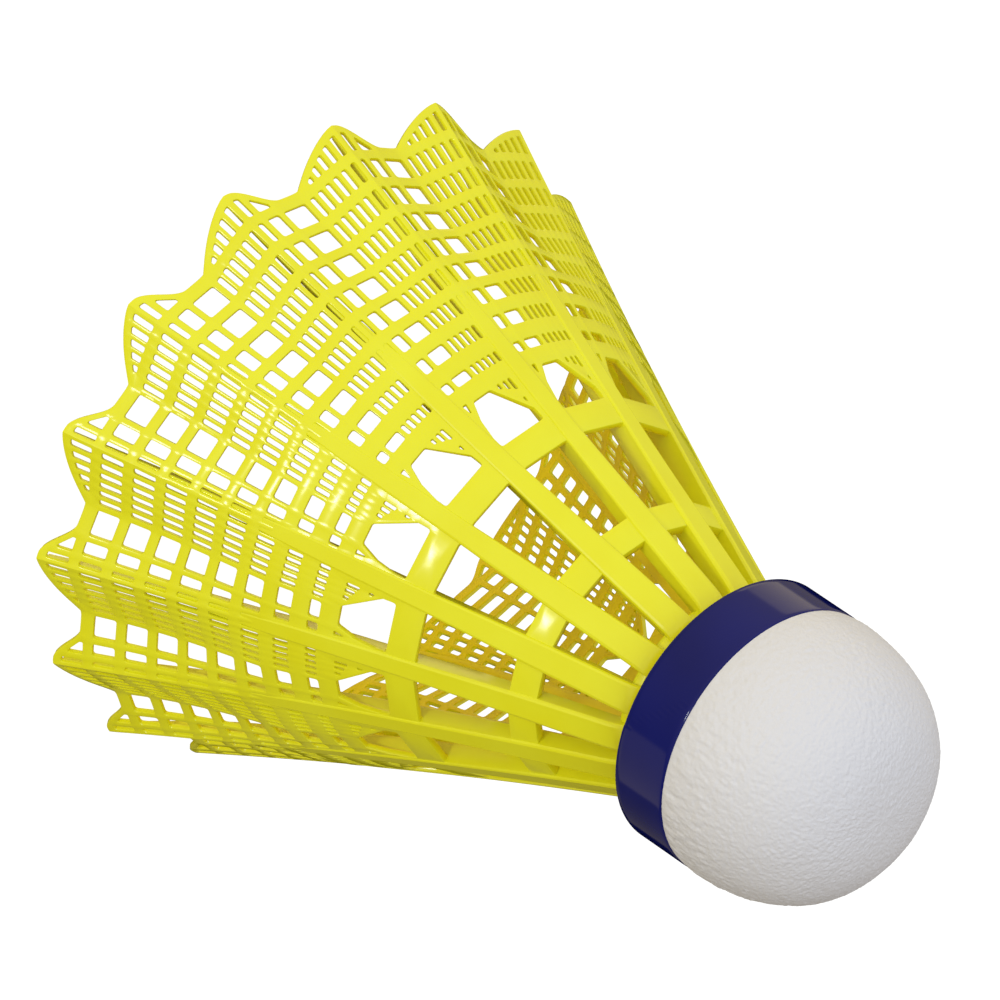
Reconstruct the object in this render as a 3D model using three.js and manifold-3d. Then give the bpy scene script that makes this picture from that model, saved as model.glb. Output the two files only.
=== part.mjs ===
// Badminton shuttlecock with a moulded nylon skirt, standing on the tips of its rim with the cork on top.
// Millimetres, +Z up along the axis. The origin is the centre of the circle that the rim's tips stand on.
import * as THREE from 'three';
import { mergeVertices } from 'three/addons/utils/BufferGeometryUtils.js';
import Module from 'manifold-3d';

// Skirt: one rib at each scallop tip, with a V-shaped blade of netting on both sides of it.
const RIBS = 16;
const FIRST_RIB_ANGLE = -Math.PI / 2;
const SKIRT_HEIGHT = 54.7;
const RIM_RADIUS = 33;
const HUB_RADIUS = 9.35;
const FLARE = 0.6;
const BLADE_HEIGHT = 33.5;
const BLADE_THICKNESS = 0.5;
const BLADE_GAP = 0.3;
const FOLD_DEPTH = 1.75;
const FOLD_BOTTOM = 2.4;
const FOLD_TOP = 20.1;
const FOLD_MIDDLE = 8.9;

// Scalloped rim: a steep side beside the square holes and a long slanting side beside the slots.
const SCALLOP_DEPTH = 2.4;
const TIP_LAND = 0.04;
const STEEP_SIDE_END = 0.33;
const SLANT_POWER = 1.5;
const MID_TURN = 0.25;

// Netting rows, counted from the rim, and its two widest columns of holes as shares of the rib pitch.
const HOLE_ROWS = 8;
const FIRST_ROW = 4.6;
const ROW_PITCH = 2.95;
const ROW_PITCH_LOSS = 0.02;
const HOLE_HEIGHT = 2;
const HOLE_HEIGHT_LOSS = 0.021;
const HOLE_COLUMNS = [[0.09, 0.25], [0.25, 0.49]];
const BAR_WIDTH = 0.6;
const CUTTER_DEPTH = 6;

// Five-sided window above the netting, measured anticlockwise from the valley that it lies across.
const WINDOW_BOTTOM = 26.4;
const WINDOW_SHOULDER = 29.9;
const WINDOW_TOP = 30.85;
const WINDOW_FOOT = [-0.2, 1.8];
const WINDOW_SIDES = [-2.3, 2.7];

// Ribs: narrow and shallow at the rim, wide and deep where they run free between the rings.
const RIB_WIDTH = { rim: 0.8, blade: 1.8, hub: 2.7 };
const RIB_DEPTH = { rim: 1.3, blade: 2.2 };
const RIB_DRAFT = 0.1;

// Lower cage: the free ribs, the middle ring, and the hub collar with its hollow plug.
const CAGE_BOTTOM = BLADE_HEIGHT + BLADE_GAP;
const RING = { bottom: 41.9, top: 44.4, recess: 0.25, thickness: 1.2 };
const COLLAR_BOTTOM = 51.2;
const COLLAR_RECESS = 0.9;
const COLLAR_WALL = 1.4;
const HUB_FLOOR = 53.2;
const PLUG = { radius: 5.5, bore: 3.4, top: 62.7 };

// Cork: a short cylinder with a blunt dome, a leather cover and a band round the skirt end.
const GLUE_FILM = 0.1;
const CORK_RADIUS = 12.3;
const COVER = { inner: 12.4, neck: 12.8, outer: 13 };
const BAND = { inner: 12.85, outer: 13, top: 60.6 };
const DOME_BOTTOM = 60.7;
const DOME_HEIGHT = 14.2;
const COVER_THICKNESS = 0.5;
const DOME_POWER = 2.55;
const SOCKET = { radius: 5.8, top: 63 };

const ROUND_SEGMENTS = 48;
const DOME_STEPS = 8;
const MERGE_TOLERANCE = 1e-4;

const wasm = await Module();
wasm.setup();

const clamp = THREE.MathUtils.clamp;
const mix = THREE.MathUtils.lerp;

// Radius of the ribs' outer faces at height z.
function ridgeRadius(z) {
  const share = 1 - z / SKIRT_HEIGHT;
  return mix(HUB_RADIUS, RIM_RADIUS, share) - 4 * FLARE * share * (1 - share);
}

function pitchAt(z) {
  return (2 * Math.PI * ridgeRadius(z)) / RIBS;
}

// How far the valley between two ribs lies inside the ribs at height z.
function foldAt(z) {
  const share = clamp((FOLD_TOP - z) / (FOLD_TOP - FOLD_BOTTOM), 0, 1);
  return FOLD_DEPTH * Math.sin((share * Math.PI) / 2);
}

// Height of the rim at a turn of -0.5 to 0.5 rib pitches from the rib.
function scallopHeight(turn) {
  if (Math.abs(turn) <= TIP_LAND) {
    return 0;
  }
  if (turn < 0) {
    return SCALLOP_DEPTH * Math.pow((-turn - TIP_LAND) / (0.5 - TIP_LAND), SLANT_POWER);
  }
  const share = clamp((turn - TIP_LAND) / (STEEP_SIDE_END - TIP_LAND), 0, 1);
  return (SCALLOP_DEPTH * (1 - Math.cos(Math.PI * share))) / 2;
}

function solidFrom(geometry) {
  const bare = geometry.clone();
  bare.deleteAttribute('normal');
  bare.deleteAttribute('uv');
  const merged = mergeVertices(bare, MERGE_TOLERANCE);
  return new wasm.Manifold(new wasm.Mesh({
    numProp: 3,
    vertProperties: new Float32Array(merged.attributes.position.array),
    triVerts: new Uint32Array(merged.index.array),
  }));
}

function geometryFrom(solid) {
  const { numProp, vertProperties, triVerts } = solid.getMesh();
  const positions = new Float32Array((vertProperties.length / numProp) * 3);
  for (let i = 0; i < positions.length / 3; i += 1) {
    positions.set(vertProperties.subarray(i * numProp, i * numProp + 3), i * 3);
  }
  const geometry = new THREE.BufferGeometry();
  geometry.setAttribute('position', new THREE.BufferAttribute(positions, 3));
  geometry.setIndex(new THREE.BufferAttribute(new Uint32Array(triVerts), 1));
  geometry.computeVertexNormals();
  return geometry;
}

// A closed solid lofted through rings of points, all with the same number of corners.
function loftGeometry(rings) {
  const corners = rings[0].length;
  const positions = rings.flat(2);
  const index = [];
  for (let ring = 0; ring < rings.length - 1; ring += 1) {
    for (let corner = 0; corner < corners; corner += 1) {
      const a = ring * corners + corner;
      const b = ring * corners + ((corner + 1) % corners);
      index.push(a, b, b + corners, a, b + corners, a + corners);
    }
  }
  // Each end is closed by quads between the outline's outer points and the inner ones across from them.
  const last = (rings.length - 1) * corners;
  for (let corner = 0; corner < corners / 2 - 1; corner += 1) {
    const [a, b, c, d] = [corner, corner + 1, corners - 2 - corner, corners - 1 - corner];
    index.push(a, c, b, a, d, c);
    index.push(last + a, last + b, last + c, last + a, last + c, last + d);
  }
  const geometry = new THREE.BufferGeometry();
  geometry.setAttribute('position', new THREE.Float32BufferAttribute(positions, 3));
  geometry.setIndex(index);
  return geometry;
}

function revolve(profile) {
  const points = profile.map(([radius, z]) => new THREE.Vector2(radius, z));
  const geometry = new THREE.LatheGeometry(points, ROUND_SEGMENTS);
  geometry.rotateX(Math.PI / 2);
  return geometry;
}

// A point of the blade's section. Its rib stands along +X, and turns are counted clockwise from it.
function bladePoint(turn, z, depth) {
  const radius = ridgeRadius(z) - 2 * Math.abs(turn) * foldAt(z) - depth;
  const angle = (-turn * 2 * Math.PI) / RIBS;
  return [radius * Math.cos(angle), radius * Math.sin(angle), z];
}

// The blade's section at one station: outer face from edge to edge, then the inner face with the rib.
function bladeSection(station) {
  const share = station / BLADE_HEIGHT;
  const half = mix(RIB_WIDTH.rim, RIB_WIDTH.blade, share) / 2;
  const depth = mix(RIB_DEPTH.rim, RIB_DEPTH.blade, share);
  const pitch = pitchAt(station);
  const edge = 0.5 - BLADE_GAP / 2 / pitch;
  const ribSide = half / pitch;
  const ribFoot = (half + RIB_DRAFT) / pitch;
  const turns = [edge, MID_TURN, ribFoot, ribSide, -ribSide, -ribFoot, -MID_TURN, -edge];
  const point = (turn, inset) => bladePoint(turn, station === 0 ? scallopHeight(turn) : station, inset);
  const outer = turns.map((turn) => point(turn, 0));
  const inner = turns.map((turn) => point(turn, Math.abs(turn) > ribSide ? BLADE_THICKNESS : depth));
  return [...outer, ...inner.reverse()];
}

// One hole's cutter, between the lines of two neighbouring bars.
function holeCutter(row, [left, right]) {
  const z = FIRST_ROW + ROW_PITCH * row - ROW_PITCH_LOSS * row * row;
  const height = HOLE_HEIGHT - HOLE_HEIGHT_LOSS * row * row;
  const width = (right - left) * pitchAt(z) - BAR_WIDTH;
  const cutter = new THREE.BoxGeometry(CUTTER_DEPTH, width, height);
  cutter.translate(ridgeRadius(z), 0, z);
  cutter.rotateZ((-(left + right) * Math.PI) / RIBS);
  return solidFrom(cutter);
}

// The window's cutter, across the valley at the given angle from the rib.
function windowCutter(valleyAngle) {
  const outline = new THREE.Shape([
    new THREE.Vector2(WINDOW_FOOT[0], WINDOW_BOTTOM),
    new THREE.Vector2(WINDOW_FOOT[1], WINDOW_BOTTOM),
    new THREE.Vector2(WINDOW_SIDES[1], WINDOW_SHOULDER),
    new THREE.Vector2(WINDOW_SIDES[1], WINDOW_TOP),
    new THREE.Vector2(WINDOW_SIDES[0], WINDOW_TOP),
    new THREE.Vector2(WINDOW_SIDES[0], WINDOW_SHOULDER),
  ]);
  const cutter = new THREE.ExtrudeGeometry(outline, { depth: CUTTER_DEPTH, bevelEnabled: false });
  cutter.translate(0, 0, ridgeRadius(WINDOW_SHOULDER) - CUTTER_DEPTH / 2);
  cutter.rotateX(Math.PI / 2);
  cutter.rotateZ(Math.PI / 2 + valleyAngle);
  return solidFrom(cutter);
}

function bladeGeometry() {
  const stations = [0, FOLD_MIDDLE, FOLD_TOP, BLADE_HEIGHT];
  let blade = solidFrom(loftGeometry(stations.map(bladeSection)));
  blade = blade.subtract(windowCutter(Math.PI / RIBS));
  blade = blade.subtract(windowCutter(-Math.PI / RIBS));
  for (let row = 0; row < HOLE_ROWS; row += 1) {
    for (const column of HOLE_COLUMNS) {
      blade = blade.subtract(holeCutter(row, column));
    }
  }
  return geometryFrom(blade);
}

function hubProfile() {
  const collarFoot = ridgeRadius(COLLAR_BOTTOM) - COLLAR_RECESS;
  return [
    [collarFoot, COLLAR_BOTTOM],
    [HUB_RADIUS, SKIRT_HEIGHT],
    [PLUG.radius, SKIRT_HEIGHT],
    [PLUG.radius, PLUG.top],
    [PLUG.bore, PLUG.top],
    [PLUG.bore, HUB_FLOOR],
    [collarFoot - COLLAR_WALL, HUB_FLOOR],
    [collarFoot - COLLAR_WALL, COLLAR_BOTTOM],
    [collarFoot, COLLAR_BOTTOM],
  ];
}

function ringProfile() {
  const low = ridgeRadius(RING.bottom) - RING.recess;
  const high = ridgeRadius(RING.top) - RING.recess;
  return [
    [low, RING.bottom],
    [high, RING.top],
    [high - RING.thickness, RING.top],
    [low - RING.thickness, RING.bottom],
    [low, RING.bottom],
  ];
}

function cageRibSection(z) {
  const share = (z - CAGE_BOTTOM) / (SKIRT_HEIGHT - CAGE_BOTTOM);
  const half = mix(RIB_WIDTH.blade, RIB_WIDTH.hub, share) / 2;
  const outer = ridgeRadius(z);
  const inner = outer - mix(RIB_DEPTH.blade, COLLAR_WALL, share);
  return [[outer, -half, z], [outer, half, z], [inner, half, z], [inner, -half, z]];
}

function cageGeometry() {
  const heights = [CAGE_BOTTOM, RING.bottom, RING.top, COLLAR_BOTTOM, SKIRT_HEIGHT];
  const rib = loftGeometry(heights.map(cageRibSection));
  rib.rotateZ(FIRST_RIB_ANGLE);
  let cage = solidFrom(revolve(hubProfile())).add(solidFrom(revolve(ringProfile())));
  for (let i = 0; i < RIBS; i += 1) {
    cage = cage.add(solidFrom(rib));
    rib.rotateZ((2 * Math.PI) / RIBS);
  }
  return geometryFrom(cage);
}

// Dome profile from its foot at the given radius up to the axis.
function domeProfile(radius, height) {
  const points = [];
  for (let step = 0; step <= DOME_STEPS; step += 1) {
    const angle = (step / DOME_STEPS) * (Math.PI / 2);
    const across = step === DOME_STEPS ? 0 : Math.pow(Math.cos(angle), 2 / DOME_POWER);
    const up = Math.pow(Math.sin(angle), 2 / DOME_POWER);
    points.push([radius * across, DOME_BOTTOM + height * up]);
  }
  return points;
}

function corkProfile() {
  const bottom = SKIRT_HEIGHT + GLUE_FILM;
  return [
    [0, SOCKET.top],
    [SOCKET.radius, SOCKET.top],
    [SOCKET.radius, bottom],
    [CORK_RADIUS, bottom],
    ...domeProfile(CORK_RADIUS, DOME_HEIGHT - COVER_THICKNESS - GLUE_FILM),
  ];
}

function coverProfile() {
  const bottom = SKIRT_HEIGHT + GLUE_FILM;
  const inside = domeProfile(COVER.inner, DOME_HEIGHT - COVER_THICKNESS).reverse();
  return [
    ...inside,
    [COVER.inner, bottom],
    [COVER.neck, bottom],
    [COVER.neck, DOME_BOTTOM],
    ...domeProfile(COVER.outer, DOME_HEIGHT),
  ];
}

function bandProfile() {
  return [
    [BAND.inner, SKIRT_HEIGHT],
    [BAND.outer, SKIRT_HEIGHT],
    [BAND.outer, BAND.top],
    [BAND.inner, BAND.top],
    [BAND.inner, SKIRT_HEIGHT],
  ];
}

function material(color, roughness) {
  return new THREE.MeshStandardMaterial({ color, roughness, metalness: 0 });
}

function namedMesh(name, geometry, look) {
  const mesh = new THREE.Mesh(geometry, look);
  mesh.name = name;
  return mesh;
}

const shuttlecock = new THREE.Group();

const blade = bladeGeometry();
for (let i = 0; i < RIBS; i += 1) {
  const name = `skirt_blade_${String(i + 1).padStart(2, '0')}`;
  const mesh = namedMesh(name, blade, material(0xe6e63c, 0.4));
  mesh.rotation.z = FIRST_RIB_ANGLE + (i * 2 * Math.PI) / RIBS;
  shuttlecock.add(mesh);
}

shuttlecock.add(
  namedMesh('skirt_cage', cageGeometry(), material(0xeae62a, 0.4)),
  namedMesh('cork_core', revolve(corkProfile()), material(0xb98a58, 0.9)),
  namedMesh('cork_cover', revolve(coverProfile()), material(0xe2e2e4, 0.6)),
  namedMesh('cork_band', revolve(bandProfile()), material(0x232b74, 0.25)),
);

export default shuttlecock;
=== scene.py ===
"""Looks of the shuttlecock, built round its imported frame: skirt, cork, leather cover and band."""
import math

import bpy
import bmesh
from mathutils import Matrix, Vector, noise
from mathutils.geometry import delaunay_2d_cdt


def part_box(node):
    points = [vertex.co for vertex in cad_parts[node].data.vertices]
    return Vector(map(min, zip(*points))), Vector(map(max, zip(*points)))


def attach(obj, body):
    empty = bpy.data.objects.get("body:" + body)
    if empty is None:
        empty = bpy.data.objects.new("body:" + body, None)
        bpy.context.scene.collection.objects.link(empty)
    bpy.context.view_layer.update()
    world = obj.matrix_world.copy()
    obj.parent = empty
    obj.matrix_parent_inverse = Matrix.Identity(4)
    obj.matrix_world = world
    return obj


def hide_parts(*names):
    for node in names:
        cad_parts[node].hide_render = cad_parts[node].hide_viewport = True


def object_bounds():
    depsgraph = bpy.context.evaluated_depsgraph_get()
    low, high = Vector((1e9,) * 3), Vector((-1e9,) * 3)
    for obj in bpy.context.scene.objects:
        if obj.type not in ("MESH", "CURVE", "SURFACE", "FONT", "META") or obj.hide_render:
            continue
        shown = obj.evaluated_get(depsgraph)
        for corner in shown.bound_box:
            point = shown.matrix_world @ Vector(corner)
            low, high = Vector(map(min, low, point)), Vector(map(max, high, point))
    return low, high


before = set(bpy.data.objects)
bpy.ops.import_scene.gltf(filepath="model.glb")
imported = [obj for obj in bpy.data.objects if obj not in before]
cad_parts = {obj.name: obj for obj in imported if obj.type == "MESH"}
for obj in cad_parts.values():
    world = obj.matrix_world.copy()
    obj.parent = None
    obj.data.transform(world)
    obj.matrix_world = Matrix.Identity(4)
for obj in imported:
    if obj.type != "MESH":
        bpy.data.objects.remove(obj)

CAD_BOX = [list(corner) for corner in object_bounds()]

# The object's lengths are in millimetres until a mesh is made, where MM turns them into metres. Those of
# the camera, the lamp and the stage are in metres.
MM = 0.001

# The frame's own sizes.
RIBS = sum(name.startswith("skirt_blade_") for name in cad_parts)
FIRST_RIB_ANGLE = -math.pi / 2
RIB_ANGLE = 2 * math.pi / RIBS
RIM_RADIUS = CAD_BOX[1][0] / MM
BAND_LOW, BAND_HIGH = (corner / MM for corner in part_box("cork_band"))
COVER_LOW, COVER_HIGH = (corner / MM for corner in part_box("cork_cover"))
SKIRT_TOP = BAND_LOW.z
PLUG_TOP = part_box("skirt_cage")[1].z / MM

# Skirt surface: a slightly hollow cone, folded into a zigzag towards its rim.
HUB_RADIUS = 9.35
FLARE = 0.59
FOLD_DEPTH = 1.7
FOLD_BOTTOM = 2.45
FOLD_TOP = 19.7
VALLEY = 0.49
FOLD_ROUND = 0.11
RECESS_STATIONS = [(0, 0), (17, 0), (22, 0.1), (33, 0.15), (44.5, 0.25), (50, 1.05), (55, 1.05)]
THICKNESS_STATIONS = [(0, 0.5), (24, 0.5), (33, 0.7), (43, 1.2), (55, 1.2)]

# Scalloped rim.
SCALLOP_DEPTH = 2.4
STEEP_SIDE = (0.03, 0.33)
SLANT_POWER = 1.5
RIM_BORDER = 0.72
RIM_SAMPLES = 56

# Netting: rows counted from the rim, columns as shares of the pitch between two ribs.
ROWS = 8
FIRST_ROW = 4.6
ROW_PITCH = 2.95
ROW_PITCH_LOSS = 0.02
ROW_HEIGHT = 2.0
ROW_HEIGHT_LOSS = 0.003
TIP_ROW_TOP = 2.7
WIDE_COLUMNS = [(0.12, 0.222), (0.272, 0.476)]
SLOT_CENTRES = [0.55, 0.63, 0.707, 0.785, 0.865]
SLOT_HALF_WIDTH = 0.0225
FLANK_SLOTS = [(0.026, 0.07), (0.928, 0.972)]
FLANK_ROWS = 6
HOLE_CORNER = 0.25
TIP_HOLE_CORNER = 0.18
CORNER_STEPS = 4
LEAST_TIP_SIDE = 0.15
LEAST_TIP_HOLE = 0.3

# Every edge of the netting is rounded off by this much at both faces, through these shares of it.
EDGE_ROUND = 0.09
EDGE_ARC = [(0, 0), (0.71, 0.29), (1, 1)]

# Foot and top of the two rings that hold the ribs.
LOWER_RING = (30.9, 33.5)
UPPER_RING = (41.9, 44.4)

# Openings above the netting, as (corners in (share of the pitch, height), corner radius).
SMALL_OPENINGS = [
    ([(0.145, 26.2), (0.2, 26.2), (0.165, 27.3)], 0.1),
    ([(0.62, 26.4), (0.655, 26.4), (0.655, 26.9), (0.62, 26.9)], 0.12),
    ([(0.7, 26.4), (0.74, 26.4), (0.74, 27.3), (0.7, 27.2)], 0.18),
    ([(0.77, 26.4), (0.81, 26.4), (0.81, 27.6), (0.77, 27.5)], 0.18),
    ([(0.775, 28.45), (0.805, 28.45), (0.8, 28.95), (0.78, 28.8)], 0.1),
]
WINDOWS = [
    ([(0.28, 26.45), (0.52, 26.45), (0.8, 29.7), (0.81, LOWER_RING[0]), (0.14, LOWER_RING[0]),
      (0.14, 29.9), (0.185, 28.1)], 0.3),
    ([(0.12, LOWER_RING[1]), (0.88, LOWER_RING[1]), (0.86, UPPER_RING[0]), (0.14, UPPER_RING[0])], 0.35),
    ([(0.15, UPPER_RING[1]), (0.85, UPPER_RING[1]), (0.84, 49.6), (0.68, 51.4), (0.32, 51.4),
      (0.16, 49.6)], 0.5),
]

# How finely a sector of the skirt is cut up. Extra points stand in the valley, on the bars beside it, and
# across the rings.
SIDE_STEPS = 44
TOP_STEPS = 12
VALLEY_FOOT = 3.0
VALLEY_PITCH = 0.6
VALLEY_POINTS = 27
VALLEY_PAIR = (0, 0.014)
CREASE_STEPS = (-0.075, -0.055, -0.038, -0.025, -0.013, 0.028, 0.042, 0.058, 0.08)
RING_ROWS = (31.8, 32.7, 42.6, 43.4, 52.3, 53.5)
RING_STEPS = 20
RIM_CLEARANCE = 0.3
SHEET_FOOT = 0.9 * EDGE_ROUND
SHEET_WIDTH = 12
SHEET_EPSILON = 1e-7


def mix(a, b, share):
    return a + (b - a) * share


def clamp(value, low=0.0, high=1.0):
    return max(low, min(high, value))


def stations(table, z):
    """Straight interpolation in a list of (height, value)."""
    for (z0, v0), (z1, v1) in zip(table, table[1:]):
        if z <= z1:
            return mix(v0, v1, clamp((z - z0) / (z1 - z0)))
    return table[-1][1]


def ridge_radius(z):
    share = 1 - z / SKIRT_TOP
    return mix(HUB_RADIUS, RIM_RADIUS, share) - 4 * FLARE * share * (1 - share)


def slope(z):
    """Angle of the skirt's wall from upright at height z, from the radii half a millimetre to each side."""
    return math.atan(ridge_radius(z - 0.5) - ridge_radius(z + 0.5))


def pitch(z):
    return RIB_ANGLE * ridge_radius(z)


def fold_share(u):
    """0 on the ribs and 1 in the valley between them, with the turn in the valley rounded."""
    away = (VALLEY - u) / VALLEY if u < VALLEY else (u - VALLEY) / (1 - VALLEY)
    level = math.hypot(away, FOLD_ROUND) - FOLD_ROUND
    return 1 - level / (math.hypot(1, FOLD_ROUND) - FOLD_ROUND)


def fold_depth(z):
    return FOLD_DEPTH * math.sin(math.pi / 2 * clamp((FOLD_TOP - z) / (FOLD_TOP - FOLD_BOTTOM)))


def skirt_point(u, z, depth):
    """A point of the skirt, depth below its outer face, in the sector clockwise of the rib on +X."""
    lean = slope(z)
    radius = ridge_radius(z) - stations(RECESS_STATIONS, z) - fold_depth(z) * fold_share(u)
    radius -= depth * math.cos(lean)
    angle = -u * RIB_ANGLE
    return (radius * math.cos(angle), radius * math.sin(angle), max(0.0, z - depth * math.sin(lean)))


def scallop(u):
    """Height of the rim's edge above the tips."""
    if u < 0.5:
        low, high = STEEP_SIDE
        share = clamp((u - low) / (high - low))
        return SCALLOP_DEPTH * (1 - math.cos(math.pi * share)) / 2
    return SCALLOP_DEPTH * (2 - 2 * u) ** SLANT_POWER


def rounded(corners, radius, scale):
    """An outline in (u, z) with each corner turned into an arc. scale is the pitch in millimetres."""
    points = [Vector((u * scale, z)) for u, z in corners]
    outline = []
    for i, corner in enumerate(points):
        before = points[i - 1] - corner
        after = points[(i + 1) % len(points)] - corner
        half = before.angle(after) / 2
        reach = min(radius / math.tan(half), before.length * 0.48, after.length * 0.48)
        start = corner + before.normalized() * reach
        end = corner + after.normalized() * reach
        for step in range(CORNER_STEPS + 1):
            t = step / CORNER_STEPS
            outline.append(start.lerp(corner, t).lerp(corner.lerp(end, t), t))
    return [(p.x / scale, p.y) for p in outline]


def grown(outline, distance, scale):
    """The outline moved outwards by a distance in millimetres."""
    points = [Vector((u * scale, z)) for u, z in outline]
    area = sum(a.x * b.y - a.y * b.x for a, b in zip(points, points[1:] + points[:1]))
    side = 1 if area > 0 else -1
    moved = []
    for i, point in enumerate(points):
        along = points[(i + 1) % len(points)] - points[i - 1]
        normal = Vector((along.y, -along.x)).normalized() * side
        moved.append(point + normal * distance)
    return [(p.x / scale, p.y) for p in moved]


def row_span(row):
    centre = FIRST_ROW + ROW_PITCH * row - ROW_PITCH_LOSS * row * row
    half = (ROW_HEIGHT - ROW_HEIGHT_LOSS * row ** 3) / 2
    return centre - half, centre + half


def tip_hole(left, right):
    """A hole of the row at the tips, whose foot follows the scalloped edge. None where it has no room."""
    foot_left = scallop(left) + RIM_BORDER
    foot_right = scallop(right) + RIM_BORDER
    corners = [(left, TIP_ROW_TOP), (right, TIP_ROW_TOP)]
    if foot_right < TIP_ROW_TOP - LEAST_TIP_SIDE:
        corners.append((right, foot_right))
    if foot_left < TIP_ROW_TOP - LEAST_TIP_SIDE:
        corners.append((left, foot_left))
    if len(corners) == 3:
        reach = (TIP_ROW_TOP - min(foot_left, foot_right)) / abs(foot_left - foot_right)
        if foot_left < foot_right:
            corners[1] = (mix(left, right, clamp(reach)), TIP_ROW_TOP)
        else:
            corners[0] = (mix(right, left, clamp(reach)), TIP_ROW_TOP)
    if len(corners) < 3 or TIP_ROW_TOP - min(foot_left, foot_right) < LEAST_TIP_HOLE:
        return None
    return corners


def sector_holes():
    """Every opening between two ribs, as (corners in (u, z), corner radius)."""
    holes = []
    slots = [(c - SLOT_HALF_WIDTH, c + SLOT_HALF_WIDTH) for c in SLOT_CENTRES]
    for left, right in [WIDE_COLUMNS[0]] + slots + FLANK_SLOTS:
        corners = tip_hole(left, right)
        if corners:
            holes.append((corners, TIP_HOLE_CORNER))
    for row in range(ROWS):
        low, high = row_span(row)
        columns = WIDE_COLUMNS + slots
        if row < FLANK_ROWS:
            columns = columns + FLANK_SLOTS
        for left, right in columns:
            holes.append(([(left, low), (right, low), (right, high), (left, high)], HOLE_CORNER))
    return holes + SMALL_OPENINGS + WINDOWS


def edge_profile(thickness):
    """(distance outwards, depth) of each ring down a hole's wall, rounded at both faces."""
    near = [(EDGE_ROUND * (1 - a), EDGE_ROUND * b) for a, b in EDGE_ARC]
    return near, [(grow, thickness - depth) for grow, depth in reversed(near)]


class MeshParts:
    """Vertices in millimetres and faces, gathered piece by piece."""

    def __init__(self):
        self.verts = []
        self.faces = []

    def add(self, point):
        self.verts.append(point)
        return len(self.verts) - 1

    def ring(self, points):
        return [self.add(p) for p in points]

    def bridge(self, first, second, closed=True):
        count = len(first)
        for i in range(count if closed else count - 1):
            j = (i + 1) % count
            self.faces.append((first[i], first[j], second[j], second[i]))

    def turned(self, angle):
        """A copy turned about the axis."""
        turn = Matrix.Rotation(angle, 3, "Z")
        copy = MeshParts()
        copy.verts = [tuple(turn @ Vector(v)) for v in self.verts]
        copy.faces = list(self.faces)
        return copy

    def join(self, other):
        offset = len(self.verts)
        self.verts += other.verts
        self.faces += [tuple(i + offset for i in face) for face in other.faces]


def shaping_points():
    """Points inside a sector that carry the valley's turn across the netting, and the curve above it."""
    heights = [VALLEY_FOOT + VALLEY_PITCH * k for k in range(VALLEY_POINTS)]
    points = [(VALLEY + step, z) for step in VALLEY_PAIR for z in heights]
    for row in range(ROWS - 1):
        between = (row_span(row)[1] + row_span(row + 1)[0]) / 2
        points += [(VALLEY + step, between) for step in CREASE_STEPS]
    for z in RING_ROWS:
        points += [(u / RING_STEPS, z) for u in range(1, RING_STEPS)]
    return [(u, z) for u, z in points if z > scallop(u) + RIM_CLEARANCE]


def sheet_triangles(flat, edges, owner):
    """Triangles between a sector's outline and its holes. owner is the hole that a point is on, or -1."""
    plane = [Vector((u * SHEET_WIDTH, z)) for u, z in flat]
    _, _, faces, origins, _, _ = delaunay_2d_cdt(plane, edges, [], 1, SHEET_EPSILON, True)
    triangles = []
    for face in faces:
        tri = [origins[i][0] for i in face]
        owners = {owner[i] for i in tri}
        centre_u = sum(flat[i][0] for i in tri) / 3
        centre_z = sum(flat[i][1] for i in tri) / 3
        in_hole = len(owners) == 1 and -1 not in owners
        below_rim = centre_z < scallop(centre_u) + SHEET_FOOT
        if not in_hole and not below_rim:
            triangles.append(tri)
    return triangles


def add_hole_wall(parts, outer, inner, nominal, scale):
    """The rounded wall of a hole, from its edge on the outer face to its edge on the inner face."""
    near, far = edge_profile(stations(THICKNESS_STATIONS, nominal[0][1]))
    rings = [outer]
    for grow, depth in near[1:] + far[:-1]:
        outline = grown(nominal, grow, scale) if grow else nominal
        rings.append(parts.ring(skirt_point(u, z, depth) for u, z in outline))
    rings.append(inner)
    for first, second in zip(rings, rings[1:]):
        parts.bridge(first, second)


def add_rim_wall(parts, outer, inner, rim):
    """The rounded edge along the scalloped rim."""
    near, far = edge_profile(stations(THICKNESS_STATIONS, 0))
    rings = [outer]
    for grow, depth in near[1:] + far[:-1]:
        rings.append(parts.ring(skirt_point(u, z + grow, depth) for u, z in rim))
    rings.append(inner)
    for first, second in zip(rings, rings[1:]):
        parts.bridge(second, first, closed=False)


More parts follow.
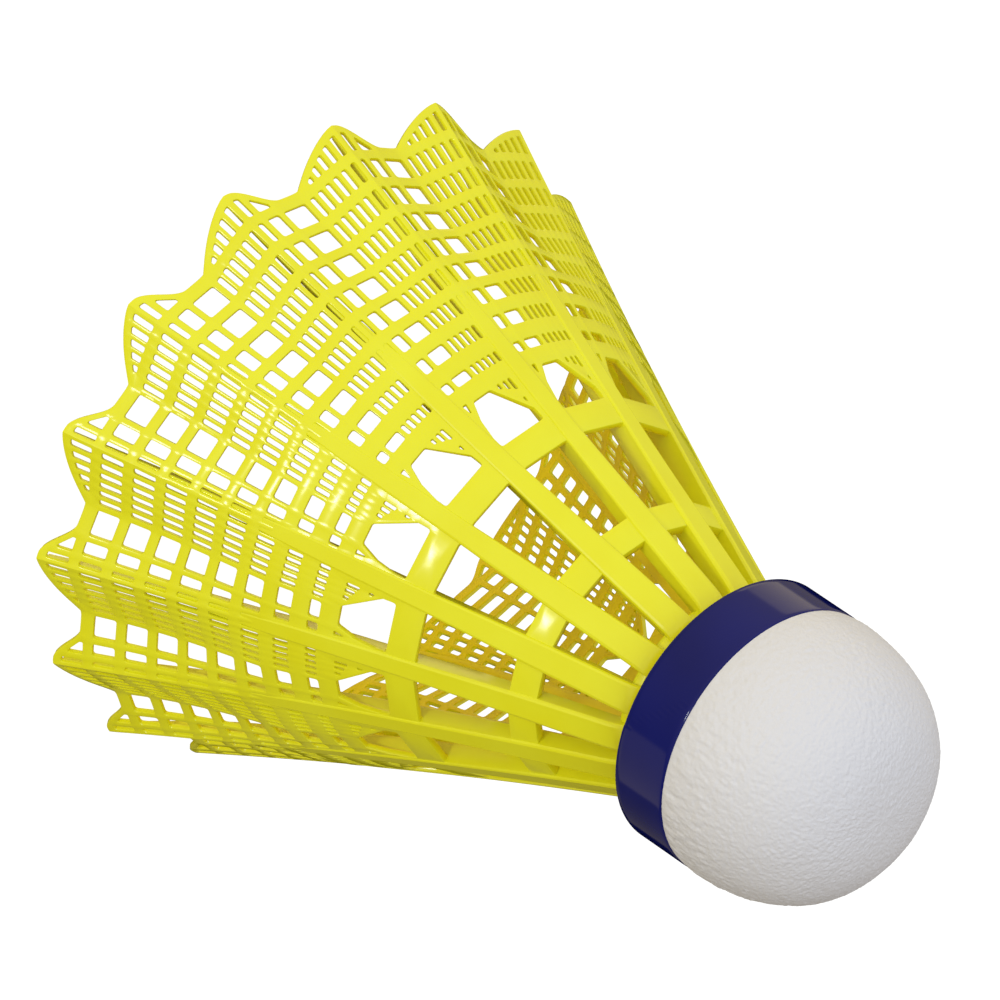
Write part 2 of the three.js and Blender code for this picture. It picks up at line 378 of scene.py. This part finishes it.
def build_sector():
    """The skirt's wall between two ribs, from the rim to the hub, with every hole cut through."""
    rim = [(k / RIM_SAMPLES, scallop(k / RIM_SAMPLES)) for k in range(RIM_SAMPLES + 1)]
    sides = [EDGE_ROUND + (SKIRT_TOP - EDGE_ROUND) * k / SIDE_STEPS for k in range(1, SIDE_STEPS + 1)]
    flat = [(u, z + EDGE_ROUND) for u, z in rim]
    flat += [(1, z) for z in sides]
    flat += [(k / TOP_STEPS, SKIRT_TOP) for k in range(TOP_STEPS - 1, 0, -1)]
    flat += [(0, z) for z in reversed(sides)]
    edges = [(i, (i + 1) % len(flat)) for i in range(len(flat))]
    owner = [-1] * len(flat)
    loops = []
    for number, (corners, radius) in enumerate(sector_holes()):
        middle = sum(z for _, z in corners) / len(corners)
        scale = pitch(middle)
        nominal = rounded(corners, radius, scale)
        loop = range(len(flat), len(flat) + len(nominal))
        flat += grown(nominal, EDGE_ROUND, scale)
        owner += [number] * len(nominal)
        edges += [(i, loop[(k + 1) % len(loop)]) for k, i in enumerate(loop)]
        loops.append((loop, nominal, scale))
    inside = shaping_points()
    flat += inside
    owner += [-1] * len(inside)

    parts = MeshParts()
    outer_ids = []
    inner_ids = []
    for u, z in flat:
        outer_ids.append(parts.add(skirt_point(u, z, 0)))
        inner_ids.append(parts.add(skirt_point(u, z, stations(THICKNESS_STATIONS, z))))
    for a, b, c in sheet_triangles(flat, edges, owner):
        parts.faces.append((outer_ids[a], outer_ids[c], outer_ids[b]))
        parts.faces.append((inner_ids[a], inner_ids[b], inner_ids[c]))
    for loop, nominal, scale in loops:
        add_hole_wall(parts, [outer_ids[i] for i in loop], [inner_ids[i] for i in loop], nominal, scale)
    add_rim_wall(parts, outer_ids[:len(rim)], inner_ids[:len(rim)], rim)
    top = slice(len(rim) + len(sides) - 1, len(rim) + len(sides) + TOP_STEPS)
    parts.bridge(inner_ids[top], outer_ids[top], closed=False)
    return parts


# Ribs: lists of (height, size). RIB_BACK has (share of half the width, how far short of the depth).
RIB_WIDTHS = [(0, 0.6), (4, 0.72), (16, 1.15), (22, 1.7), (27, 1.9), (34, 2.0), (43, 2.5), (52, 2.8)]
RIB_DEPTHS = [(0, 0.6), (10, 1.5), (24, 2.1), (43, 2.3), (53, 2.2)]
RIB_SINK = [(0, 0.35), (14, 0.3), (20, 0), (55, 0)]
RIB_START = 0.8
RIB_END = 53.4
RIB_BEND = 50.9
RIB_DROP = 1.3
RIB_CHAMFER = 0.11
CHAMFER_TURN = (0.3, 0.35)
RIB_BACK = [(0.8, 0.35), (0.65, 0.1), (0.35, 0)]
RIB_SECTIONS = 24
RIB_BEND_SECTIONS = 6


def rib_section(z):
    """One section of a rib on +X: a flat outer face, chamfers, leaning sides and a rounded back."""
    half = stations(RIB_WIDTHS, z) / 2
    depth = stations(RIB_DEPTHS, z)
    sink = stations(RIB_SINK, z)
    if z > RIB_BEND:
        share = (z - RIB_BEND) / (RIB_END - RIB_BEND)
        sink += RIB_DROP * (1 - math.sqrt(max(0, 1 - share * share)))
    chamfer = RIB_CHAMFER * half * 2
    across, down = CHAMFER_TURN
    outline = [(half - chamfer, 0), (half - chamfer * across, chamfer * down), (half, chamfer)]
    outline += [(half * share, depth - short) for share, short in RIB_BACK]
    outline = outline + [(-y, d) for y, d in reversed(outline)]
    lean = slope(z)
    points = []
    for y, d in outline:
        radius = ridge_radius(z) - (sink + d) * math.cos(lean)
        points.append((radius, y, z - (sink + d) * math.sin(lean)))
    return points


def build_rib():
    parts = MeshParts()
    heights = [mix(RIB_START, RIB_BEND, k / RIB_SECTIONS) for k in range(RIB_SECTIONS + 1)]
    turns = (math.pi / 2 * k / RIB_BEND_SECTIONS for k in range(1, RIB_BEND_SECTIONS + 1))
    heights += [mix(RIB_BEND, RIB_END, math.sin(turn)) for turn in turns]
    rings = [parts.ring(rib_section(z)) for z in heights]
    for first, second in zip(rings, rings[1:]):
        parts.bridge(first, second)
    parts.faces.append(tuple(reversed(rings[0])))
    parts.faces.append(tuple(rings[-1]))
    return parts


def lathe(profile, segments):
    """A closed profile of (radius, height) turned about the axis. Ends on the axis are single points."""
    parts = MeshParts()
    rings = []
    for radius, z in profile:
        if radius == 0:
            rings.append([parts.add((0, 0, z))] * segments)
            continue
        angles = [2 * math.pi * k / segments for k in range(segments)]
        rings.append(parts.ring((radius * math.cos(a), radius * math.sin(a), z) for a in angles))
    for first, second in zip(rings, rings[1:]):
        for i in range(segments):
            j = (i + 1) % segments
            face = dict.fromkeys((first[i], first[j], second[j], second[i]))
            parts.faces.append(tuple(face))
    return parts


def smooth_profile(corners, radius):
    """A closed profile with rounded corners, in (radius, height)."""
    outline = rounded(corners, radius, 1)
    return outline + outline[:1]


# Faces that meet at more than these degrees keep a sharp edge. Points closer than the weld, in metres,
# become one.
SKIRT_SHARP = 26
CORK_SHARP = 60
WELD = 1e-6


def make_piece(name, parts, material, sharp_degrees):
    """A piece of the object, on its only body."""
    mesh = bpy.data.meshes.new(name)
    mesh.from_pydata([tuple(c * MM for c in v) for v in parts.verts], [], parts.faces)
    work = bmesh.new()
    work.from_mesh(mesh)
    bmesh.ops.remove_doubles(work, verts=work.verts, dist=WELD)
    bmesh.ops.recalc_face_normals(work, faces=work.faces)
    work.to_mesh(mesh)
    work.free()
    mesh.shade_smooth()
    mesh.set_sharp_from_angle(angle=math.radians(sharp_degrees))
    mesh.materials.append(material)
    piece = bpy.data.objects.new(name, mesh)
    bpy.context.scene.collection.objects.link(piece)
    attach(piece, "root")
    return piece


# Base colours. A pair is where a noise pattern is low and where it is high.
NYLON_OUTSIDE = ((0.845, 0.832, 0.012, 1), (0.865, 0.872, 0.022, 1))
# Painted golden shade on the nylon's inward faces, standing in for light that passes through the nylon and
# bounces inside the skirt.
NYLON_PAINTED_SHADE = (0.95, 0.77, 0.002, 1)
LEATHER = (0.75, 0.76, 0.84, 1)
TAPE = ((0.003, 0.006, 0.115, 1), (0.005, 0.009, 0.15, 1))
CORK = ((0.25, 0.12, 0.045, 1), (0.62, 0.38, 0.17, 1))
FLOOR = (0.12, 0.12, 0.12, 1)
WHITE = (1, 1, 1, 1)

# The nylon goes from its painted golden shade, on faces that look towards the axis, to its outside colour
# between these cosines of a face's normal with the outward radius.
PAINTED_SHADE_RANGE = (-0.7, -0.1)


def new_material(name):
    material = bpy.data.materials.new(name)
    material.use_nodes = True
    nodes = material.node_tree.nodes
    return material, nodes, material.node_tree.links, nodes["Principled BSDF"]


def colour_ramp(nodes, pair, low, high):
    ramp = nodes.new("ShaderNodeValToRGB")
    for element, colour, position in zip(ramp.color_ramp.elements, pair, (low, high)):
        element.position = position
        element.color = colour
    return ramp


def add_bump(nodes, links, shader, height, strength, distance):
    bump = nodes.new("ShaderNodeBump")
    bump.inputs["Strength"].default_value = strength
    bump.inputs["Distance"].default_value = distance
    links.new(height, bump.inputs["Height"])
    links.new(bump.outputs["Normal"], shader.inputs["Normal"])


def painted_shade_mask(nodes, links, coords):
    """1 on faces that look away from the axis or along it, and 0 on those that look towards it, where the
    nylon gets its painted golden shade.
    """
    flat = nodes.new("ShaderNodeVectorMath")
    flat.operation = "MULTIPLY"
    flat.inputs[1].default_value = (1, 1, 0)
    links.new(coords.outputs["Object"], flat.inputs[0])
    radial = nodes.new("ShaderNodeVectorMath")
    radial.operation = "NORMALIZE"
    links.new(flat.outputs["Vector"], radial.inputs[0])
    dot = nodes.new("ShaderNodeVectorMath")
    dot.operation = "DOT_PRODUCT"
    links.new(radial.outputs["Vector"], dot.inputs[0])
    links.new(coords.outputs["Normal"], dot.inputs[1])
    share = nodes.new("ShaderNodeMapRange")
    share.inputs["From Min"].default_value = PAINTED_SHADE_RANGE[0]
    share.inputs["From Max"].default_value = PAINTED_SHADE_RANGE[1]
    links.new(dot.outputs["Value"], share.inputs["Value"])
    return share.outputs["Result"]


def nylon_material():
    """Satin yellow nylon. Faces that look inwards get a painted golden shade, standing in for light that has
    passed through the nylon.
    """
    material, nodes, links, shader = new_material("yellow_nylon")
    shader.inputs["Roughness"].default_value = 0.19
    shader.inputs["IOR"].default_value = 1.5
    shader.inputs["Specular IOR Level"].default_value = 0.45
    coords = nodes.new("ShaderNodeTexCoord")
    clouds = nodes.new("ShaderNodeTexNoise")
    clouds.inputs["Scale"].default_value = 160
    clouds.inputs["Detail"].default_value = 3
    links.new(coords.outputs["Object"], clouds.inputs["Vector"])
    ramp = colour_ramp(nodes, NYLON_OUTSIDE, 0.35, 0.7)
    links.new(clouds.outputs["Fac"], ramp.inputs["Fac"])
    # Mixes the painted golden shade onto inward faces, over the noise colour of the outside.
    painted_shade_tone = nodes.new("ShaderNodeMix")
    painted_shade_tone.data_type = "RGBA"
    painted_shade_tone.inputs["A"].default_value = NYLON_PAINTED_SHADE
    links.new(painted_shade_mask(nodes, links, coords), painted_shade_tone.inputs["Factor"])
    links.new(ramp.outputs["Color"], painted_shade_tone.inputs["B"])
    links.new(painted_shade_tone.outputs["Result"], shader.inputs["Base Color"])
    ripple = nodes.new("ShaderNodeTexNoise")
    ripple.inputs["Scale"].default_value = 420
    ripple.inputs["Detail"].default_value = 2
    links.new(coords.outputs["Object"], ripple.inputs["Vector"])
    add_bump(nodes, links, shader, ripple.outputs["Fac"], 0.07, 0.0002)
    return material


def leather_material():
    material, nodes, links, shader = new_material("white_leather")
    shader.inputs["Base Color"].default_value = LEATHER
    shader.inputs["Roughness"].default_value = 0.55
    coords = nodes.new("ShaderNodeTexCoord")
    grain = nodes.new("ShaderNodeTexNoise")
    grain.inputs["Scale"].default_value = 1300
    grain.inputs["Detail"].default_value = 4
    grain.inputs["Roughness"].default_value = 0.6
    links.new(coords.outputs["Object"], grain.inputs["Vector"])
    add_bump(nodes, links, shader, grain.outputs["Fac"], 0.5, 0.00025)
    return material


def band_material():
    material, nodes, links, shader = new_material("blue_tape")
    shader.inputs["Roughness"].default_value = 0.1
    shader.inputs["IOR"].default_value = 1.42
    shader.inputs["Specular IOR Level"].default_value = 0.25
    coords = nodes.new("ShaderNodeTexCoord")
    clouds = nodes.new("ShaderNodeTexNoise")
    clouds.inputs["Scale"].default_value = 90
    links.new(coords.outputs["Object"], clouds.inputs["Vector"])
    ramp = colour_ramp(nodes, TAPE, 0.35, 0.7)
    links.new(clouds.outputs["Fac"], ramp.inputs["Fac"])
    links.new(ramp.outputs["Color"], shader.inputs["Base Color"])
    return material


def cork_material():
    material, nodes, links, shader = new_material("ground_cork")
    shader.inputs["Roughness"].default_value = 0.85
    coords = nodes.new("ShaderNodeTexCoord")
    cells = nodes.new("ShaderNodeTexVoronoi")
    cells.inputs["Scale"].default_value = 900
    links.new(coords.outputs["Object"], cells.inputs["Vector"])
    ramp = colour_ramp(nodes, CORK, 0, 1)
    links.new(cells.outputs["Color"], ramp.inputs["Fac"])
    links.new(ramp.outputs["Color"], shader.inputs["Base Color"])
    add_bump(nodes, links, shader, cells.outputs["Distance"], 0.5, 0.0002)
    return material


def floor_material():
    """Seen as white from every side, because it glows."""
    material, nodes, links, shader = new_material("pale_floor")
    shader.inputs["Base Color"].default_value = FLOOR
    shader.inputs["Roughness"].default_value = 0.9
    shader.inputs["Emission Color"].default_value = WHITE
    shader.inputs["Emission Strength"].default_value = 1.0
    return material


# Hub: a collar inside the ribs' upper ends, a floor across it, and the plug with its bore.
COLLAR_HEIGHT = 51.2
COLLAR_FOOT = 51.0
COLLAR_SINK = 1.25
COLLAR_WIDTH = 1.5
HUB_FLOOR = 53.2
HUB_STEP = 0.3
PLUG_RADIUS = 5.5
PLUG_BORE = 3.4
HUB_ROUND = 0.25
HUB_SEGMENTS = 96


def build_hub():
    collar = ridge_radius(COLLAR_HEIGHT) - COLLAR_SINK
    return lathe(smooth_profile([
        (collar, COLLAR_FOOT),
        (HUB_RADIUS - HUB_STEP, SKIRT_TOP),
        (PLUG_RADIUS, SKIRT_TOP),
        (PLUG_RADIUS, PLUG_TOP),
        (PLUG_BORE, PLUG_TOP),
        (PLUG_BORE, HUB_FLOOR),
        (collar - COLLAR_WIDTH, HUB_FLOOR),
        (collar - COLLAR_WIDTH, COLLAR_FOOT),
    ], HUB_ROUND), HUB_SEGMENTS)


def build_skirt(material):
    parts = MeshParts()
    sector = build_sector()
    rib = build_rib()
    for i in range(RIBS):
        angle = FIRST_RIB_ANGLE + i * RIB_ANGLE
        parts.join(sector.turned(angle))
        parts.join(rib.turned(angle))
    parts.join(build_hub())
    skirt = make_piece("skirt_moulding", parts, material, SKIRT_SHARP)
    # The sixteen blades, and the cage that belongs to the same moulding.
    blades = [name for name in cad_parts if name.startswith("skirt_")]
    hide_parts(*blades)
    return skirt


# Blue band: its wall, and the upper edge that curls in towards the leather.
BAND_RADIUS = 13.1
BAND_GAP = 0.01
BAND_BEVEL = 0.06
BAND_CURL = 0.5
BAND_TUCK = 0.13
WALL_STEPS = 10
CURL_STEPS = 8
BAND_SEGMENTS = 720

# Leather cover: a dome between a circle and a box, on a thin neck that runs down inside the band.
DOME_RADIUS = 13.0
DOME_BOTTOM = BAND_HIGH.z
DOME_POWER = 2.55
DOME_STEPS = 180
INNER_STEPS = 24
COVER_SEGMENTS = 600
COVER_INNER = 12.4
COVER_NECK = 12.86
COVER_THICKNESS = 0.5
NECK_DROP = 0.4
DOME_DROP = 0.1
BULGE_HEIGHT = 2.2
DOME_BULGE = 0.16
BULGE_POWER = 8

# The leather is pushed in and out by grain, by broad waves, and by creases that fade out above the band
# and round the cork. Each fractal noise has (increment, lacunarity, octaves).
GRAIN_SCALE = 3.2
GRAIN_NOISE = (0.7, 2.0, 2)
GRAIN_HEIGHT = 0.06
CREASE_SCALE = (1.8, 0.55)
CREASE_NOISE = (0.8, 2.0, 2)
CREASE_HEIGHT = 0.12
CREASED_SIDE = (0.9, -0.43)
CREASED_SHARE = (0.45, 0.55)
PULL_TOP = 10
PULL_FADE = 8
WAVE_SCALE = 0.3
WAVE_HEIGHT = 0.05
PUSH_CENTRE = Vector((0, 0, DOME_BOTTOM - 4))
PUSH_START = 0.6
INNER_MARGIN = 0.2

# The tape's end laps over its start. Angles are in radians about the axis.
LAP_EDGE = math.radians(-63)
LAP_SLANT = -0.9
LAP_STEP = math.radians(0.6)
LAP_LENGTH = math.radians(50)
LAP_THICKNESS = 0.07
LAP_MARGIN = 0.1


def dome_profile(radius, top, bottom, steps):
    points = []
    for step in range(steps + 1):
        angle = math.pi / 2 * step / steps
        across = 0 if step == steps else math.cos(angle) ** (2 / DOME_POWER)
        points.append((radius * across, bottom + (top - bottom) * math.sin(angle) ** (2 / DOME_POWER)))
    return points


def wrinkled(point):
    """Pushes a point of the leather in and out by its grain, and by creases along the pull near the band."""
    x, y, z = point
    if z < DOME_BOTTOM - DOME_DROP or math.hypot(x, y, z - DOME_BOTTOM) < COVER_INNER + INNER_MARGIN:
        return point
    place = Vector(point)
    grain = noise.fractal(place * GRAIN_SCALE, *GRAIN_NOISE)
    across, along = CREASE_SCALE
    creases = noise.fractal(Vector((x * across, y * across, z * along)), *CREASE_NOISE)
    broad = noise.noise(place * WAVE_SCALE)
    least, more = CREASED_SHARE
    facing = (x * CREASED_SIDE[0] + y * CREASED_SIDE[1]) / DOME_RADIUS
    pull = clamp((DOME_BOTTOM + PULL_TOP - z) / PULL_FADE) * clamp(least + more * facing)
    height = GRAIN_HEIGHT * grain + CREASE_HEIGHT * pull * creases + WAVE_HEIGHT * broad
    out = (place - PUSH_CENTRE).normalized()
    return tuple(place + out * height * clamp((z - DOME_BOTTOM) / PUSH_START))


def bulged(radius, z):
    """The leather swells out just above the band, which holds it in."""
    share = clamp((z - DOME_BOTTOM) / BULGE_HEIGHT)
    return radius + DOME_BULGE * math.sin(math.pi / 2 * share) * (radius / DOME_RADIUS) ** BULGE_POWER


def build_cover(material):
    outer = dome_profile(DOME_RADIUS, COVER_HIGH.z, DOME_BOTTOM - DOME_DROP, DOME_STEPS)
    outer = [(bulged(radius, z), z) for radius, z in outer]
    inner = dome_profile(COVER_INNER, COVER_HIGH.z - COVER_THICKNESS, DOME_BOTTOM, INNER_STEPS)
    profile = list(reversed(inner)) + [(COVER_INNER, COVER_LOW.z), (COVER_NECK, COVER_LOW.z)]
    profile += [(COVER_NECK, DOME_BOTTOM - NECK_DROP)] + outer
    parts = lathe(profile, COVER_SEGMENTS)
    parts.verts = [wrinkled(v) for v in parts.verts]
    cover = make_piece("cork_leather", parts, material, CORK_SHARP)
    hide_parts("cork_cover")
    return cover


def lapped(point):
    """Lifts the tape where its end lies over its start, up to a slanting edge."""
    x, y, z = point
    radius = math.hypot(x, y)
    if radius < COVER_NECK + LAP_MARGIN:
        return point
    turn = math.atan2(y, x) - LAP_EDGE - LAP_SLANT * (z - BAND_LOW.z) / radius
    lift = LAP_THICKNESS * clamp(turn / LAP_STEP + 0.5) * clamp((LAP_LENGTH - turn) / LAP_LENGTH)
    return (x * (1 + lift / radius), y * (1 + lift / radius), z)


def build_band(material):
    """The tape, whose upper edge curls in towards the leather."""
    inside = COVER_NECK + BAND_GAP
    wall = BAND_HIGH.z - BAND_CURL
    profile = [(inside, BAND_LOW.z), (BAND_RADIUS - BAND_BEVEL, BAND_LOW.z)]
    steps = range(WALL_STEPS + 1)
    profile += [(BAND_RADIUS, mix(BAND_LOW.z + BAND_BEVEL, wall, k / WALL_STEPS)) for k in steps]
    for k in range(1, CURL_STEPS + 1):
        angle = math.pi / 2 * k / CURL_STEPS
        profile.append((BAND_RADIUS - BAND_TUCK * (1 - math.cos(angle)), wall + BAND_CURL * math.sin(angle)))
    profile += [(inside, BAND_HIGH.z), (inside, BAND_LOW.z)]
    parts = lathe(profile, BAND_SEGMENTS)
    parts.verts = [lapped(v) for v in parts.verts]
    band = make_piece("cork_tape", parts, material, CORK_SHARP)
    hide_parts("cork_band")
    return band


def dress_cork(material):
    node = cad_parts["cork_core"]
    node.data.materials.clear()
    node.data.materials.append(material)


# The camera looks at a point beside the axis, from the side of the first rib, and is rolled. Angles are in
# degrees.
CAMERA_AZIMUTH = -89.8
CAMERA_ELEVATION = 36.13
CAMERA_ROLL = 124.18
CAMERA_DISTANCE = 1.0706
CAMERA_TARGET = Vector((-0.00423, 0, 0.02154))
LENS = 432
SENSOR = 36


def view_axes():
    """Right, up and back of the camera in the frame's axes."""
    azimuth = math.radians(CAMERA_AZIMUTH)
    elevation = math.radians(CAMERA_ELEVATION)
    back = Vector((math.cos(azimuth) * math.cos(elevation), math.sin(azimuth) * math.cos(elevation),
                   math.sin(elevation)))
    level = Vector((0, 0, 1)).cross(back).normalized()
    upright = back.cross(level)
    roll = math.radians(CAMERA_ROLL)
    right = level * math.cos(roll) + upright * math.sin(roll)
    return right, back.cross(right), back


def add_camera():
    right, up, back = view_axes()
    data = bpy.data.cameras.new("photo_camera")
    data.lens = LENS
    data.sensor_width = SENSOR
    data.clip_start = 0.01
    camera = bpy.data.objects.new("photo_camera", data)
    place = CAMERA_TARGET + back * CAMERA_DISTANCE
    camera.matrix_world = Matrix.Translation(place) @ Matrix((right, up, back)).transposed().to_4x4()
    bpy.context.scene.collection.objects.link(camera)
    bpy.context.scene.camera = camera


# Key lamp: its place about the axis, in metres and radians, and its power in watts.
KEY_AZIMUTH = math.radians(-72)
KEY_ELEVATION = math.radians(8)
KEY_DISTANCE = 0.8
KEY_AIM = Vector((0, 0, 0.012))
KEY_SIZE = 0.085
KEY_POWER = 1.15
KEY_COLOUR = (0.95, 1, 0.97)

# The stage's reach in metres, and how finely it is cut up.
STAGE_REACH = 3
STAGE_STEPS = 24
STAGE_SEGMENTS = 64

# The studio brightens towards one side, between two cosines with its direction. The warm light from below
# fades out between two sines of elevation, into the colours of the dark and the bright side.
BRIGHT_SIDE = (-0.58, -0.55, 0.72)
BRIGHT_LEVEL = 0.86
DARK_LEVEL = 0.11
UNDER_COLOUR = (1.55, 1.3, 0.8, 1)
DARK_COLOUR = (1.3, 1.02, 0.6, 1)
BRIGHT_COLOUR = (0.98, 1, 1, 1)
SIDE_RANGE = 0.8
HORIZON = (-0.3, 0.1)

# Boards that the band mirrors, as (direction, cosine of their half width, level added). The last one takes
# light away.
BOARDS = [
    ((-0.73, 0.34, -0.59), 0.972, 0.6),
    ((0.79, -0.17, -0.59), 0.94, 0.4),
    ((0, 0.81, -0.59), 0.92, -0.3),
]
BOARD_EDGE = 0.006


def add_key():
    """A small lamp that looks at the skirt, placed to glint in a valley of the netting."""
    data = bpy.data.lights.new("key", "AREA")
    data.shape = "SQUARE"
    data.size = KEY_SIZE
    data.energy = KEY_POWER
    data.color = KEY_COLOUR
    flat = math.cos(KEY_ELEVATION)
    direction = Vector((math.cos(KEY_AZIMUTH) * flat, math.sin(KEY_AZIMUTH) * flat, math.sin(KEY_ELEVATION)))
    light = bpy.data.objects.new("key", data)
    light.location = KEY_AIM + direction * KEY_DISTANCE
    light.rotation_euler = direction.to_track_quat("Z", "Y").to_euler()
    bpy.context.scene.collection.objects.link(light)


def add_stage():
    """A pale floor that turns up into a pale dome. Both are only seen, and give the object no light."""
    angles = [math.pi / 2 * k / STAGE_STEPS for k in range(STAGE_STEPS)]
    rise = [(STAGE_REACH * math.cos(angle), STAGE_REACH * math.sin(angle)) for angle in angles]
    parts = lathe([(0, 0)] + rise + [(0, STAGE_REACH)], STAGE_SEGMENTS)
    mesh = bpy.data.meshes.new("floor")
    mesh.from_pydata(parts.verts, [], parts.faces)
    mesh.materials.append(floor_material())
    floor = bpy.data.objects.new("floor", mesh)
    floor.visible_diffuse = False
    floor.visible_glossy = False
    floor.visible_shadow = False
    bpy.context.scene.collection.objects.link(floor)


def world_level(nodes, links, coords, direction, low, high):
    """A level that goes smoothly from low, against the direction, to high, along it."""
    side = nodes.new("ShaderNodeVectorMath")
    side.operation = "DOT_PRODUCT"
    side.inputs[1].default_value = Vector(direction).normalized()
    links.new(coords.outputs["Generated"], side.inputs[0])
    level = nodes.new("ShaderNodeMapRange")
    level.interpolation_type = "SMOOTHSTEP"
    level.inputs["From Min"].default_value = low[0]
    level.inputs["From Max"].default_value = high[0]
    level.inputs["To Min"].default_value = low[1]
    level.inputs["To Max"].default_value = high[1]
    links.new(side.outputs["Value"], level.inputs["Value"])
    return level.outputs["Result"]


def add_world():
    """A studio that is bright on one side, dim and warm on the other, and warm underneath."""
    world = bpy.data.worlds.new("studio")
    world.use_nodes = True
    nodes, links = world.node_tree.nodes, world.node_tree.links
    coords = nodes.new("ShaderNodeTexCoord")
    darkest, brightest = (-SIDE_RANGE, DARK_LEVEL), (SIDE_RANGE, BRIGHT_LEVEL)
    side = world_level(nodes, links, coords, BRIGHT_SIDE, darkest, brightest)
    for direction, width, added in BOARDS:
        outside, inside = (width - BOARD_EDGE, 0), (width + BOARD_EDGE, added)
        board = world_level(nodes, links, coords, direction, outside, inside)
        total = nodes.new("ShaderNodeMath")
        links.new(side, total.inputs[0])
        links.new(board, total.inputs[1])
        total.use_clamp = added < 0
        side = total.outputs["Value"]
    links.new(side, nodes["Background"].inputs["Strength"])
    height = world_level(nodes, links, coords, (0, 0, 1), (HORIZON[0], 0), (HORIZON[1], 1))
    share = world_level(nodes, links, coords, BRIGHT_SIDE, (-SIDE_RANGE, 0), (SIDE_RANGE, 1))
    over = nodes.new("ShaderNodeMix")
    over.data_type = "RGBA"
    over.inputs["A"].default_value = DARK_COLOUR
    over.inputs["B"].default_value = BRIGHT_COLOUR
    links.new(share, over.inputs["Factor"])
    tint = nodes.new("ShaderNodeMix")
    tint.data_type = "RGBA"
    tint.inputs["A"].default_value = UNDER_COLOUR
    links.new(height, tint.inputs["Factor"])
    links.new(over.outputs["Result"], tint.inputs["B"])
    links.new(tint.outputs["Result"], nodes["Background"].inputs["Color"])
    bpy.context.scene.world = world


def add_lights():
    add_key()
    add_world()


bpy.context.scene.view_settings.view_transform = "Standard"
add_camera()
add_stage()
add_lights()
build_skirt(nylon_material())
build_cover(leather_material())
build_band(band_material())
dress_cork(cork_material())
